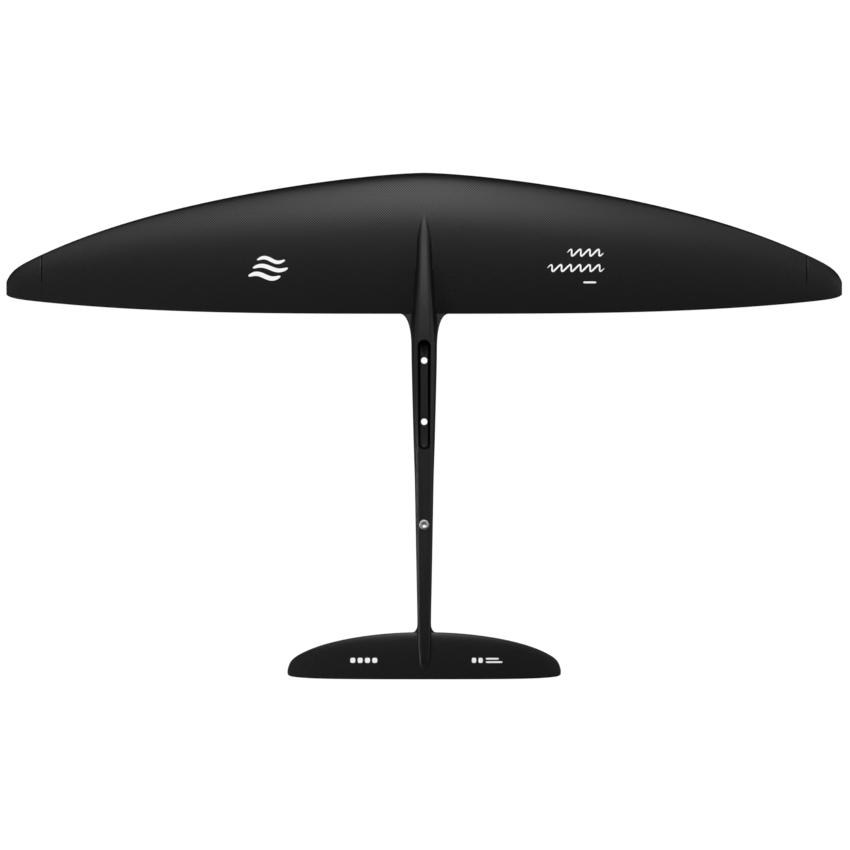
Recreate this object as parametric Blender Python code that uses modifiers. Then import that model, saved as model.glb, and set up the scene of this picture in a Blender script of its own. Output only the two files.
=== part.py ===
"""Hydrofoil plane: front wing and fuselage in one moulding, a mast pocket, and a tail
section with its stabiliser on a forked spigot under one clamp screw.

Lengths are in millimetres until they reach a mesh, which is in metres.
+Z is up, +Y points to the nose, and z = 0 is the floor of the mast pocket.
"""

import bmesh
import bpy
import numpy as np
from mathutils import Matrix, Vector

MM = 0.001
NAME = "hydrofoil_plane"

# Front wing
HALF_SPAN = 571.0
NOSE_Y = 298.2
TRAILING_Y = 105.5
WING_DROOP = 24.5
WING_CAMBER = 0.025
TIP_JOINT = 522.0

# Stabiliser
STAB_HALF_SPAN = 186.8
STAB_NOSE_Y = -329.0
STAB_TRAILING_Y = -393.6
STAB_DROOP = 16.0
STAB_CAMBER = -0.012

# Moulding
EDGE = 0.55
LAP = 0.15
GAP = 0.4
FIT = 0.3
FRONT_SKIN = 1.6
TAIL_SKIN = 1.0
ROOT_FILLET_X = 33.0
ROOT_FILLET_Y = 59.0
STAB_FILLET_X = 15.4
STAB_FILLET_Y = -318.6
CROWN_START = 60.0
CROWN_END = 130.0
CROWN_POWER = 2.5

# Mast pocket and its bolts
POCKET_LENGTH = 149.3
POCKET_Y = -5.25
POCKET_MOUTH = 16.7
POCKET_FLOOR = 10.9
POCKET_TOP = 19.0
POCKET_OVER = 8.0
SOCKET_FRONT = 84.0
SOCKET_REAR = -94.0
SOCKET_LAND = 14.2
BOLT_Y = 41.8
BOLT_BORE = 8.7
SEAT_FLANGE = 19.0
SEAT_SLEEVE = 12.0
SEAT_FACE = -8.5
SEAT_THICK = 2.0
SEAT_END = -2.5

# Tail joint
SEAM_Y = -203.0
SCREW_Y = -182.3
LINER_FRONT = -132.0
SPIGOT_FRONT = -165.0
SPIGOT_STEP = -215.0
SPIGOT_REAR = -262.0
SPIGOT_HALF_WIDTH = 8.7
SPIGOT_TOP = 5.3
SPIGOT_BOTTOM = -4.0
SLOT_WIDTH = 9.4
SLOT_END = -188.5
SLIDE_FIT = 0.2
SCREW_RADIUS = 4.0
SCREW_END = -9.0
HEAD_RADIUS = 6.5
HEAD_TOP = 12.4
HEAD_UNDER = 8.4
LOBE_MEAN = 3.55
LOBE_SWING = 0.42
RECESS_RADIUS = 7.2
WASHER_RADIUS = 6.9
WASHER_UNDER = 7.4
NUT_RADIUS = 6.0
NUT_TOP = -4.6
NUT_BOTTOM = -9.6


# ---------------------------------------------------------------- profiles


def curve(value, knots):
    """Monotone cubic through (position, height) knots given in rising position."""
    x, y = np.array(sorted(knots), float).T
    value = np.clip(np.asarray(value, float), x[0], x[-1])
    step = np.diff(x)
    slope = np.diff(y) / step
    tangent = np.zeros_like(y)
    tangent[0], tangent[-1] = slope[0], slope[-1]
    same = slope[:-1] * slope[1:] > 0
    mean = 2 * slope[:-1] * slope[1:] / np.where(same, slope[:-1] + slope[1:], 1)
    tangent[1:-1] = np.where(same, mean, 0)
    cell = np.clip(np.searchsorted(x, value) - 1, 0, len(step) - 1)
    t = (value - x[cell]) / step[cell]
    rise = y[cell] * (1 + 2 * t) * (1 - t) ** 2 + y[cell + 1] * t**2 * (3 - 2 * t)
    lean = tangent[cell] * t * (1 - t) ** 2 - tangent[cell + 1] * t**2 * (1 - t)
    return rise + step[cell] * lean


def wing_edges(x):
    """Leading and trailing edge of the front wing at a distance from the centre."""
    s = np.clip(np.abs(x) / HALF_SPAN, 0, 1)
    sweep = 32.6 * s**5 + 103.6 * s**1.5 + 13.0 * (1 - (1 - s**80) ** 0.91)
    rise = 21.7 * s**3.27 + 4.9 * (1 - (1 - s**65) ** 0.675)
    return NOSE_Y - sweep, TRAILING_Y + rise


def stab_edges(x):
    """Leading and trailing edge of the stabiliser."""
    s = np.clip(np.abs(x) / STAB_HALF_SPAN, 0, 1)
    sweep = 9.9 * s**8 + 31.3 * s**2.14 + 10.9 * s**65
    rise = 3.4 * s**8 + 0.84 * s**2.17 + 3.4 * (1 - (1 - s**80) ** 0.71)
    return STAB_NOSE_Y - sweep, STAB_TRAILING_Y + rise


KEEL = ((-393, -6.5), (-329, -5.5), (-203, -1.5), (-80, 1), (106, 2), (300, 2))
HALF_WIDTH = (
    (-394, 1.5), (-379.5, 1.6), (-374, 5.2), (-367, 7.1), (-353.5, 8.4), (-340, 9.6),
    (-329, 9.9), (-321, 9.4), (-256, 10.4), (-190, 11.6), (-125, 12.8), (-60, 14.7),
    (6, 16.4), (62, 17.5), (106, 17.7), (138, 15.5), (179, 12.5), (206, 9.5),
    (235, 4.5), (300, 4.5),
)
CREST = (
    (-394, -4), (-381, 0), (-378, 2.4), (-370, 5.4), (-353, 7.8), (-329, 9.5),
    (-260, 12), (-182, 13.8), (-80, 17.0), (-5, 20.0), (62, 22.6), (90, 23.3),
    (110, 23.4), (130, 23.1), (155, 22.2), (180, 20.9), (206, 18.9), (225, 17.3),
    (234.5, 16.5), (243, 15.4), (255, 14), (270, 11.5), (285, 6), (300, -4),
)
FLAT = (
    (-394, 0.6), (-379.5, 0.8), (-370, 3.2), (-353, 5.0), (-329, 5.9), (-285, 6.6),
    (-128, 8.1), (-80, 8.5), (70, 8.6), (106, 7.5), (138, 6.5), (179, 4.5),
    (206, 2.75), (235, 0.9), (300, 0.9),
)
BELLY = (
    (-394, -4), (-381, 0), (-370, 3.4), (-353, 5.6), (-329, 7.5), (-203, 11.5),
    (-80, 14), (106, 15), (140, 14.4), (180, 12.4), (225, 9.8), (245, 8.6),
    (262, 7.2), (280, 4), (300, -4),
)
BELLY_FLAT = (
    (-394, 0.6), (-370, 2.6), (-329, 4.6), (-203, 6.4), (-90, 9.4), (-60, 9.9),
    (106, 9.9), (180, 5), (240, 1.2), (300, 0.9),
)
BLEND = (
    (-394, 1.2), (-345, 1.2), (-310, 0.4), (50, 0.4), (60, 2), (106, 9), (180, 7),
    (215, 3), (235, 1.2), (300, 1.2),
)


def keel(x, y):
    """Height of the surface where the upper and lower mouldings meet."""
    wing = WING_DROOP * (np.abs(x) / HALF_SPAN) ** 2.2
    stab = STAB_DROOP * (np.abs(x) / STAB_HALF_SPAN) ** 2.4
    return curve(y, KEEL) - np.where(y > -200, wing, stab)


def foil(x, y):
    """Upper and lower height of wing or stabiliser over the keel surface."""
    front = y > -200
    lead, trail = wing_edges(x)
    stab_lead, stab_trail = stab_edges(x)
    lead = np.where(front, lead, stab_lead)
    trail = np.where(front, trail, stab_trail)
    s = np.clip(np.abs(x) / np.where(front, HALF_SPAN, STAB_HALF_SPAN), 0, 1)
    c = np.clip((lead - y) / (lead - trail), 0, 1)
    thick = np.where(front, 0.120 - 0.035 * s**1.5, 0.095 - 0.010 * s)
    poly = 0.2969 * np.sqrt(c) - 0.1260 * c - 0.3516 * c**2 + 0.2843 * c**3 - 0.1036 * c**4
    half = 5 * thick * poly
    ahead = (0.8 * c - c**2) / 0.16
    behind = (0.2 + 0.8 * c - c**2) / 0.36
    camber = np.where(front, WING_CAMBER, STAB_CAMBER) * np.where(c < 0.4, ahead, behind)
    tip = np.sqrt(1 - 0.75 * np.clip((s - 0.97) / 0.03, 0, 1) ** 2)
    chord = (lead - trail) * tip
    inside = np.where(front, y >= TRAILING_Y, y <= STAB_NOSE_Y)
    chord = np.where(inside, chord, 0)
    return EDGE + chord * (half + camber), EDGE + chord * (half - camber)


def hump(x, half_width, flat, height, crown=0.0):
    """Fuselage cross-section: a bevelled flat or, by its crown share, a round top."""
    v = np.clip((np.abs(x) - flat) / (half_width - flat), 0, None)
    bevelled = np.sqrt(np.clip(1 - 0.6 * v - 0.4 * v**2, 0, None))
    u = np.clip(np.abs(x) / half_width, 0, 1)
    rounded = (1 - u**CROWN_POWER) ** (1 / CROWN_POWER)
    inside = bevelled + crown * (rounded - bevelled)
    drop = 1 - inside + 2 * np.clip(v - 1, 0, None)
    return height - drop * np.maximum(height, 4)


def crown_share(y):
    """How far the fuselage's top is rounded: not along the pocket, fully on the front wing."""
    t = np.clip((y - CROWN_START) / (CROWN_END - CROWN_START), 0, 1)
    return t * t * (3 - 2 * t)


def soft_max(a, b, reach):
    """Larger of two heights with the corner between them rounded over a reach."""
    h = np.clip(reach - np.abs(a - b), 0, None) / reach
    return np.maximum(a, b) + h**2 * reach / 4


def upper(x, y, inset=0.0, edge=0.0):
    """Height of the top surface, or of its offset towards the inside."""
    wide = curve(y, HALF_WIDTH) - inset
    flat = np.minimum(curve(y, FLAT), wide - 0.3)
    body = hump(x, wide, flat, curve(y, CREST) - inset, crown_share(y))
    return keel(x, y) + soft_max(foil(x, y)[0] - inset - edge, body, curve(y, BLEND))


def lower(x, y, inset=0.0, edge=0.0):
    """Height of the bottom surface, or of its offset towards the inside."""
    wide = curve(y, HALF_WIDTH) - inset
    flat = np.minimum(curve(y, BELLY_FLAT), wide - 0.3)
    body = hump(x, wide, flat, curve(y, BELLY) - inset)
    return keel(x, y) - soft_max(foil(x, y)[1] - inset - edge, body, curve(y, BLEND))


def side(y):
    """Outer half width of the fuselage in plan, with the fillets at both wings."""
    wide = curve(y, HALF_WIDTH)
    t = np.clip((y - ROOT_FILLET_Y) / (TRAILING_Y - ROOT_FILLET_Y), 0, 1)
    q = np.clip((STAB_FILLET_Y - y) / (STAB_FILLET_Y - STAB_NOSE_Y), 0, 1)
    front = (ROOT_FILLET_X - wide) * (1 - np.sqrt(1 - t**2))
    rear = (STAB_FILLET_X - wide) * (1 - np.sqrt(1 - q**2))
    return wide + np.where(y > 0, front, rear)


# ---------------------------------------------------------------- plan meshes

FLANK = np.array([0, 0.35, 0.65, 0.87, 0.97, 1])
REACH = np.array([0, 0, 0, 0.05, 0.4, 1])
WING_CHORD = (0, 0.005, 0.018, 0.05, 0.1, 0.17, 0.24, 0.32, 0.405, 0.52, 0.65, 0.78, 0.9, 1)
WING_SPAN = (0.12, 0.24, 0.36, 0.47, 0.58, 0.68, 0.77, 0.85)
TIP_SPAN = (0.938, 0.958, 0.974, 0.986, 0.995, 1.0)
STAB_CHORD = (0, 0.012, 0.045, 0.12, 0.25, 0.45, 0.66, 0.84, 1)
STAB_SPAN = (0.17, 0.3, 0.44, 0.57, 0.69, 0.79, 0.87, 0.93, 0.97, 0.99, 1.0)


def mirrored(values):
    """Values on both sides of a middle zero."""
    values = np.asarray(values, float)
    return np.concatenate([-values[::-1], [0.0], values])


def body_line(y, outboard=()):
    """One row of points across the fuselage; the third value draws it in for the inside face."""
    wide, outer = curve(y, HALF_WIDTH), side(y)
    flat = np.minimum(curve(y, FLAT), wide - 0.3)
    x = flat + FLANK * (wide - flat) + REACH * (outer - wide)
    x = np.concatenate([x, outboard])
    pull = FLANK * (1 - REACH) * np.clip(0.3 * (wide - flat), 0, 1)
    pull = np.concatenate([pull, np.zeros(len(outboard))])
    across = mirrored(x)
    return np.column_stack([across, np.full(len(across), float(y)), mirrored(pull)])


def foil_rows(edges, chords, outboard):
    """Rows of points over a wing, from its leading edge to its trailing edge."""
    front, back = edges(0.0)
    rows = []
    for c in chords:
        row = body_line(front + c * (back - front), outboard)
        lead, trail = edges(row[:, 0])
        row[:, 1] = lead + c * (trail - lead)
        rows.append(row)
    return rows


def trimmed(rows, gap):
    """Rows with the first and last moved towards each other, to clear the next piece."""
    rows = [r.copy() for r in rows]
    rows[0][:, 1] -= gap
    rows[-1][:, 1] += gap
    return rows


def one_side(rows, sign, first, start):
    """Rows on one side of the middle, from a numbered line that is moved by a start distance."""
    halves = []
    for row in rows:
        middle = len(row) // 2
        half = (row[middle + first:] if sign > 0 else row[: middle - first + 1]).copy()
        half[0 if sign > 0 else -1, 0] += sign * start
        halves.append(half)
    return halves


def tip_rows(chords, lines):
    """Rows of points over an outer part of the front wing."""
    x = np.sort(np.asarray(lines, float))
    lead, trail = wing_edges(x)
    return [np.column_stack([x, lead + c * (trail - lead), 0 * x]) for c in chords]


def loft(name, rows, top, bottom, material, collection):
    """Closed body between two faces over rows of plan points.

    A row may be longer than its neighbour: the middle points of both then share faces.
    """
    sheet = bmesh.new()
    layers = []
    for face in (top, bottom):
        layers.append([[sheet.verts.new(p * MM) for p in row] for row in face])
    for layer in layers:
        for here, there in zip(layer[:-1], layer[1:]):
            skip = (len(here) - len(there)) // 2
            near, far = here[max(0, skip):], there[max(0, -skip):]
            for j in range(min(len(here), len(there)) - 1):
                sheet.faces.new((near[j], near[j + 1], far[j + 1], far[j]))
    partner = {v: w for high, low in zip(*layers) for v, w in zip(high, low)}
    rim = [e for e in sheet.edges if e.is_boundary and e.verts[0] in partner]
    for edge in rim:
        a, b = edge.verts
        sheet.faces.new((a, b, partner[b], partner[a]))
    bmesh.ops.recalc_face_normals(sheet, faces=sheet.faces)
    return finish(name, sheet, material, collection)


def heights(rows, surface, inset=0.0):
    """Rows of plan points lifted to a surface, drawn in with its inset."""
    lifted = []
    for x, y, pull in (r.T for r in rows):
        x = x - inset * pull
        lifted.append(np.column_stack([x, y, surface(x, y, inset)]))
    return lifted


def solid_edge(x, y):
    """Extra wall at the leading and trailing edges, where a moulding is solid."""
    lead, trail = wing_edges(x) if y.min() > -200 else stab_edges(x)
    c = (lead - y) / (lead - trail)
    foil_zone = (c >= 0) & (c <= 1)
    extra = np.clip(1 - c / 0.03, 0, 1) + np.clip((c - 0.88) / 0.12, 0, 1)
    return np.where(foil_zone, 3 * extra, 0)


def inside(rows, skin, sign):
    """Inside face of a half shell: an offset surface that ends on the lap plane."""
    surface = upper if sign > 0 else lower
    faces = []
    for x, y, pull in (r.T for r in rows):
        x = x - skin * pull
        z = surface(x, y, skin, solid_edge(x, y))
        lap = keel(x, y) + sign * LAP
        z = np.maximum(z, lap) if sign > 0 else np.minimum(z, lap)
        faces.append(np.column_stack([x, y, z]))
    return faces


def half_shell(name, rows, skin, sign, material, collection):
    """Upper or lower moulding over rows of plan points."""
    outer = heights(rows, upper if sign > 0 else lower)
    return loft(name, rows, outer, inside(rows, skin, sign), material, collection)


def filler(name, rows, inset, material, collection):
    """Body between the inside faces of both mouldings."""
    return loft(name, rows, heights(rows, upper, inset), heights(rows, lower, inset), material, collection)


def boom_filler(name, stations, inset, material, collection, flank=(0, 0.35, 0.65, 0.85, 0.95)):
    """Solid length of the fuselage section inside the mouldings."""
    rows = []
    for y in stations:
        wide = curve(y, HALF_WIDTH) - inset
        flat = np.minimum(curve(y, FLAT), wide - 1.5)
        x = mirrored(flat + np.array(flank) * (wide - flat))
        rows.append(np.column_stack([x, np.full(len(x), float(y)), 0 * x]))
    return filler(name, rows, inset, material, collection)


# ---------------------------------------------------------------- plain shapes


def finish(name, work, material, collection, location=(0, 0, 0)):
    """Object from a bmesh, placed by its location in millimetres."""
    mesh = bpy.data.meshes.new(name)
    work.to_mesh(mesh)
    work.free()
    thing = bpy.data.objects.new(name, mesh)
    thing.location = [v * MM for v in location]
    if material:
        mesh.materials.append(material)
    else:
        thing.hide_render = True
        thing.display_type = "WIRE"
    collection.objects.link(thing)
    return thing


def box(name, low, high, material, collection):
    """Rectangular block between two corners."""
    low, high = np.array(low, float), np.array(high, float)
    work = bmesh.new()
    bmesh.ops.create_cube(work, size=1)
    bmesh.ops.scale(work, vec=(high - low) * MM, verts=work.verts)
    return finish(name, work, material, collection, (low + high) / 2)


def rod(name, radius, bottom, top, y, collection, sides=24):
    """Upright cylinder used as a cutter."""
    work = bmesh.new()
    size = radius * MM
    depth = (top - bottom) * MM
    bmesh.ops.create_cone(
        work, cap_ends=True, segments=sides, radius1=size, radius2=size, depth=depth
    )
    return finish(name, work, None, collection, (0, y, (top + bottom) / 2))


def tapered(name, low_ring, high_ring, collection, y=0.0):
    """Cutter raised from one outline to another with the same number of points."""
    work = bmesh.new()
    base = work.faces.new([work.verts.new(np.array(p) * MM) for p in low_ring])
    raised = bmesh.ops.extrude_face_region(work, geom=[base], use_keep_orig=True)
    verts = [v for v in raised["geom"] if isinstance(v, bmesh.types.BMVert)]
    for start, end in zip(low_ring, high_ring):
        near = min(verts, key=lambda v: (v.co - Vector(start) * MM).length)
        near.co = Vector(end) * MM
        verts.remove(near)
    bmesh.ops.recalc_face_normals(work, faces=work.faces)
    return finish(name, work, None, collection, (0, y, 0))


def turned(name, profile, y, material, collection, closed=True):
    """Body of revolution: a profile, top to bottom on its outer side, with a Screw modifier."""
    work = bmesh.new()
    points = [work.verts.new((r * MM, 0, z * MM)) for r, z in profile]
    for a, b in zip(points, points[1:] + (points[:1] if closed else [])):
        work.edges.new((a, b))
    thing = finish(name, work, material, collection, (0, y, 0))
    spin = thing.modifiers.new("spin", "SCREW")
    spin.steps = spin.render_steps = 24
    spin.use_merge_vertices = True
    spin.merge_threshold = 0.00001
    return thing


def boolean(target, cutter, operation="DIFFERENCE"):
    """Exact Boolean left on its object."""
    mod = target.modifiers.new(cutter.name, "BOOLEAN")
    mod.operation, mod.solver, mod.object = operation, "EXACT", cutter


def hang(pieces, name, y, collection):
    """Parent pieces to an empty on their joint, without moving them."""
    pivot = bpy.data.objects.new(name, None)
    pivot.location = (0, y * MM, 0)
    collection.objects.link(pivot)
    for piece in pieces:
        piece.parent = pivot
        piece.matrix_parent_inverse = Matrix.Translation((0, -y * MM, 0))


def slot_ring(width, length, y, z, steps=8):
    """Outline of a round-ended slot at one height."""
    radius = width / 2
    reach = length / 2 - radius
    ring = []
    for turn, centre in ((0.0, y + reach), (np.pi, y - reach)):
        for i in range(steps + 1):
            angle = turn + np.pi * i / steps
            ring.append((radius * np.cos(angle), centre + radius * np.sin(angle), z))
    return ring


# ---------------------------------------------------------------- front wing and fuselage


def pocket_cutter(collection):
    """Tapered round-ended slot of the mast pocket, carried on above its mouth."""
    lean = (POCKET_MOUTH - POCKET_FLOOR) / POCKET_TOP
    length = POCKET_LENGTH - lean * POCKET_TOP
    grown = lean * (POCKET_TOP + POCKET_OVER)
    floor = slot_ring(POCKET_FLOOR, length, POCKET_Y, 0.0)
    mouth = slot_ring(POCKET_FLOOR + grown, length + grown, POCKET_Y, POCKET_TOP + POCKET_OVER)
    return tapered("cut_pocket", floor, mouth, collection)


def fillet_stations():
    """Stations along the plan fillet behind the wing root, close together at the wing."""
    swing = np.sin(np.radians([72, 54, 36, 18, 0]))
    return list(ROOT_FILLET_Y + (TRAILING_Y - ROOT_FILLET_Y) * swing)


def front_mouldings(mats, parts, cuts):
    """Upper and lower half shells of wing and fuselage."""
    outboard = [s * HALF_SPAN for s in WING_SPAN] + [TIP_JOINT - LAP]
    stations = fillet_stations() + [30, -20, -80, -125, SEAM_Y + LAP]
    rows = foil_rows(wing_edges, WING_CHORD, outboard) + [body_line(y) for y in stations]
    top = half_shell("plane_shell_upper", rows, FRONT_SKIN, 1, mats["carbon"], parts)
    bottom = half_shell("plane_shell_lower", rows, FRONT_SKIN, -1, mats["carbon"], parts)
    boolean(top, pocket_cutter(cuts))
    boolean(top, rod("cut_head", RECESS_RADIUS, 2, 30, SCREW_Y, cuts))
    for y in (BOLT_Y, -BOLT_Y):
        boolean(bottom, rod(f"cut_flange_{y:+.0f}", SEAT_FLANGE / 2 + FIT, -30, -5, y, cuts))


def wing_fill(mats, parts):
    """Spar and foam inside the front wing."""
    inset = FRONT_SKIN + GAP
    span = [s * HALF_SPAN for s in WING_SPAN]
    spar = foil_rows(wing_edges, WING_CHORD[6:9], span[:7])
    fore = trimmed(foil_rows(wing_edges, WING_CHORD[3:7], span[:7]), GAP)
    aft = trimmed(foil_rows(wing_edges, WING_CHORD[8:12], span[:6]), GAP)
    filler("wing_spar", spar, inset, mats["laminate"], parts)
    for name, sign in (("left", -1), ("right", 1)):
        filler(f"wing_core_front_{name}", one_side(fore, sign, 0, 0.25), inset, mats["foam"], parts)
        filler(f"wing_core_rear_{name}", one_side(aft, sign, 5, 0.5), inset, mats["foam"], parts)


def fuselage_fill(mats, parts, cuts):
    """Foam behind the spar, then the laminate block with the mast pocket and its bolt seats."""
    inset = FRONT_SKIN + GAP
    under_wing = [NOSE_Y - c * (NOSE_Y - TRAILING_Y) for c in WING_CHORD[9:]]
    stations = [NOSE_Y - 0.405 * (NOSE_Y - TRAILING_Y) - 0.4] + under_wing
    stations += [y for y in fillet_stations() if y > SOCKET_FRONT + 1] + [SOCKET_FRONT + GAP]
    boom_filler("fuselage_core", stations, inset + FIT, mats["foam"], parts, (0, 0.35, 0.65, 0.85))
    stations = [SOCKET_FRONT, 71, 59, 30, -20, SOCKET_REAR]
    block = boom_filler("mast_socket", stations, inset, mats["laminate"], parts)
    boolean(block, box("cut_land", (-30, -200, SOCKET_LAND), (30, 200, 40), None, cuts))
    boolean(block, bpy.data.objects["cut_pocket"])
    seat_top = SEAT_FACE + SEAT_THICK
    for name, y in (("front", BOLT_Y), ("rear", -BOLT_Y)):
        boolean(block, rod(f"cut_bolt_{name}", BOLT_BORE / 2, -30, 5, y, cuts))
        boolean(block, rod(f"cut_sleeve_{name}", SEAT_SLEEVE / 2 + FIT, -30, SEAT_END + FIT, y, cuts))
        boolean(block, rod(f"cut_seat_{name}", SEAT_FLANGE / 2 + FIT, -30, seat_top + FIT, y, cuts))
        profile = [
            (SEAT_SLEEVE / 2, SEAT_END), (SEAT_SLEEVE / 2, seat_top), (SEAT_FLANGE / 2, seat_top),
            (SEAT_FLANGE / 2, SEAT_FACE + 0.4), (SEAT_FLANGE / 2 - 0.4, SEAT_FACE),
            (BOLT_BORE / 2, SEAT_FACE), (BOLT_BORE / 2, SEAT_END),
        ]
        turned(f"mast_bolt_seat_{name}", profile, y, mats["steel"], parts)


def wing_tips(mats, parts, cuts):
    """Solid tip caps, each with a tongue into the end of the wing."""
    for name, sign in (("left", -1), ("right", 1)):
        lines = sign * np.array([TIP_JOINT + LAP] + [s * HALF_SPAN for s in TIP_SPAN])
        cap = filler(f"wing_tip_{name}", tip_rows(WING_CHORD, lines), 0, mats["carbon"], parts)
        tongue = tip_rows((0.2, 0.32, 0.45, 0.58), sign * np.array([502, 512, 522, 532]))
        boolean(cap, filler(f"fill_tongue_{name}", tongue, FRONT_SKIN + GAP, None, cuts), "UNION")


# ---------------------------------------------------------------- clamp joint


def tail_socket(mats, parts, cuts):
    """Liner at the rear of the front moulding, with the clamp nut in it."""
    stations = [LINER_FRONT, SEAM_Y + 0.5]
    liner = boom_filler("tail_socket_liner", stations, FRONT_SKIN + GAP, mats["laminate"], parts)
    wide = SPIGOT_HALF_WIDTH + SLIDE_FIT
    low = (-wide, SEAM_Y - 20, SPIGOT_BOTTOM - SLIDE_FIT)
    high = (wide, SPIGOT_FRONT + 0.5, SPIGOT_TOP + SLIDE_FIT)
    boolean(liner, box("cut_slide", low, high, None, cuts))
    boolean(liner, rod("cut_recess", RECESS_RADIUS, WASHER_UNDER - 0.1, 30, SCREW_Y, cuts))
    boolean(liner, rod("cut_shank", SLOT_WIDTH / 2, 0, 30, SCREW_Y, cuts))
    boolean(liner, rod("cut_nut", NUT_RADIUS + FIT, NUT_BOTTOM - FIT, 0, SCREW_Y, cuts))
    bore = SCREW_RADIUS + 0.2
    nut = [
        (NUT_RADIUS, NUT_TOP), (NUT_RADIUS, NUT_BOTTOM + 0.4), (NUT_RADIUS - 0.4, NUT_BOTTOM),
        (bore, NUT_BOTTOM), (bore, NUT_TOP),
    ]
    turned("tail_screw_nut", nut, SCREW_Y, mats["steel"], parts)


def lobe_ring(z):
    """Six-lobed outline of the driver recess."""
    angle = np.arange(36) * np.pi / 18
    radius = LOBE_MEAN + LOBE_SWING * np.cos(6 * angle)
    return [(r * np.cos(t), r * np.sin(t), z) for r, t in zip(radius, angle)]


def clamp_screw(mats, parts, cuts):
    """Round-head screw with a six-lobed recess, and the washer under it."""
    profile = [
        (0, HEAD_TOP), (HEAD_RADIUS - 0.6, HEAD_TOP), (HEAD_RADIUS, HEAD_TOP - 0.6),
        (HEAD_RADIUS, HEAD_UNDER), (SCREW_RADIUS, HEAD_UNDER), (SCREW_RADIUS, SCREW_END + 0.8),
        (SCREW_RADIUS - 0.7, SCREW_END), (0, SCREW_END),
    ]
    screw = turned("tail_screw", profile, SCREW_Y, mats["steel"], parts, closed=False)
    lobes = tapered("cut_lobes", lobe_ring(HEAD_TOP - 2.4), lobe_ring(HEAD_TOP + 2), cuts, SCREW_Y)
    boolean(screw, lobes)
    top, bore = HEAD_UNDER - 0.1, SCREW_RADIUS + 0.3
    washer = [
        (WASHER_RADIUS, top - 0.1), (WASHER_RADIUS, WASHER_UNDER + 0.1), (WASHER_RADIUS - 0.1, WASHER_UNDER),
        (bore, WASHER_UNDER), (bore, top), (WASHER_RADIUS - 0.1, top),
    ]
    turned("tail_screw_washer", washer, SCREW_Y, mats["steel"], parts)


# ---------------------------------------------------------------- tail


def tail_mouldings(mats, parts):
    """Upper and lower half shells of the tail boom and stabiliser."""
    outboard = [s * STAB_HALF_SPAN for s in STAB_SPAN]
    swing = np.sin(np.radians([0, 25, 50, 72]))
    fillet = STAB_FILLET_Y - (STAB_FILLET_Y - STAB_NOSE_Y) * swing
    stations = [SEAM_Y - LAP, -245, -285, *fillet]
    rows = [body_line(y) for y in stations] + foil_rows(stab_edges, STAB_CHORD, outboard)
    upper_half = half_shell("tail_shell_upper", rows, TAIL_SKIN, 1, mats["carbon"], parts)
    lower_half = half_shell("tail_shell_lower", rows, TAIL_SKIN, -1, mats["carbon"], parts)
    return [upper_half, lower_half]


def tail_fill(mats, parts, cuts):
    """Forked spigot, boom filler, stabiliser spar and foam."""
    wide, half = SPIGOT_HALF_WIDTH, SLOT_WIDTH / 2
    low = (-wide, SPIGOT_STEP, SPIGOT_BOTTOM)
    spigot = box("tail_spigot", low, (wide, SPIGOT_FRONT, SPIGOT_TOP), mats["alloy"], parts)
    root = box("fill_root", (-7.2, SPIGOT_REAR, -5.6), (7.2, SPIGOT_STEP + 2, 3.4), None, cuts)
    boolean(spigot, root, "UNION")
    boolean(spigot, rod("cut_slot_end", half, -20, 20, SLOT_END, cuts))
    boolean(spigot, box("cut_slot", (-half, SLOT_END, -21), (half, SPIGOT_FRONT + 5, 21), None, cuts))
    inset = TAIL_SKIN + GAP
    core = boom_filler("tail_boom_core", [-262.6, -285, -305, -327], inset, mats["foam"], parts)
    span = [s * STAB_HALF_SPAN for s in STAB_SPAN]
    spar = foil_rows(stab_edges, STAB_CHORD[3:6], span[:5])
    aft = trimmed(foil_rows(stab_edges, STAB_CHORD[5:7], span[:3]), GAP)
    pieces = [spigot, core, filler("stabiliser_spar", spar, inset, mats["laminate"], parts)]
    for name, sign in (("left", -1), ("right", 1)):
        rows = one_side(aft, sign, 6, 0)
        pieces.append(filler(f"stabiliser_core_{name}", rows, inset, mats["foam"], parts))
    return pieces


def material(name, colour, metallic, roughness):
    """Principled material."""
    mat = bpy.data.materials.new(name)
    mat.use_nodes = True
    shader = mat.node_tree.nodes["Principled BSDF"]
    shader.inputs["Base Color"].default_value = (*colour, 1)
    shader.inputs["Metallic"].default_value = metallic
    shader.inputs["Roughness"].default_value = roughness
    return mat


def main():
    for thing in list(bpy.data.objects):
        bpy.data.objects.remove(thing)
    parts = bpy.data.collections.new(NAME)
    cuts = bpy.data.collections.new("cutters")
    for collection in (parts, cuts):
        bpy.context.scene.collection.children.link(collection)
    mats = {
        "carbon": material("woven_carbon", (0.03, 0.03, 0.032), 0.0, 0.35),
        "laminate": material("moulded_laminate", (0.015, 0.015, 0.016), 0.0, 0.5),
        "foam": material("core_foam", (0.75, 0.7, 0.55), 0.0, 0.9),
        "steel": material("stainless_steel", (0.6, 0.6, 0.6), 1.0, 0.3),
        "alloy": material("anodised_alloy", (0.1, 0.1, 0.11), 1.0, 0.4),
    }
    front_mouldings(mats, parts, cuts)
    wing_fill(mats, parts)
    fuselage_fill(mats, parts, cuts)
    wing_tips(mats, parts, cuts)
    tail_socket(mats, parts, cuts)
    clamp_screw(mats, parts, cuts)
    hang(tail_mouldings(mats, parts) + tail_fill(mats, parts, cuts), "tail_slide", SEAM_Y, parts)


main()
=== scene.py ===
"""Looks of the hydrofoil plane: woven-carbon mouldings, mast pocket, clamp screw, plain marks, studio.

Lengths are in millimetres until they reach a mesh, which is in metres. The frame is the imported
part's own: +Z up, +Y to the nose, z = 0 on the floor of the mast pocket.
"""

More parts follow.
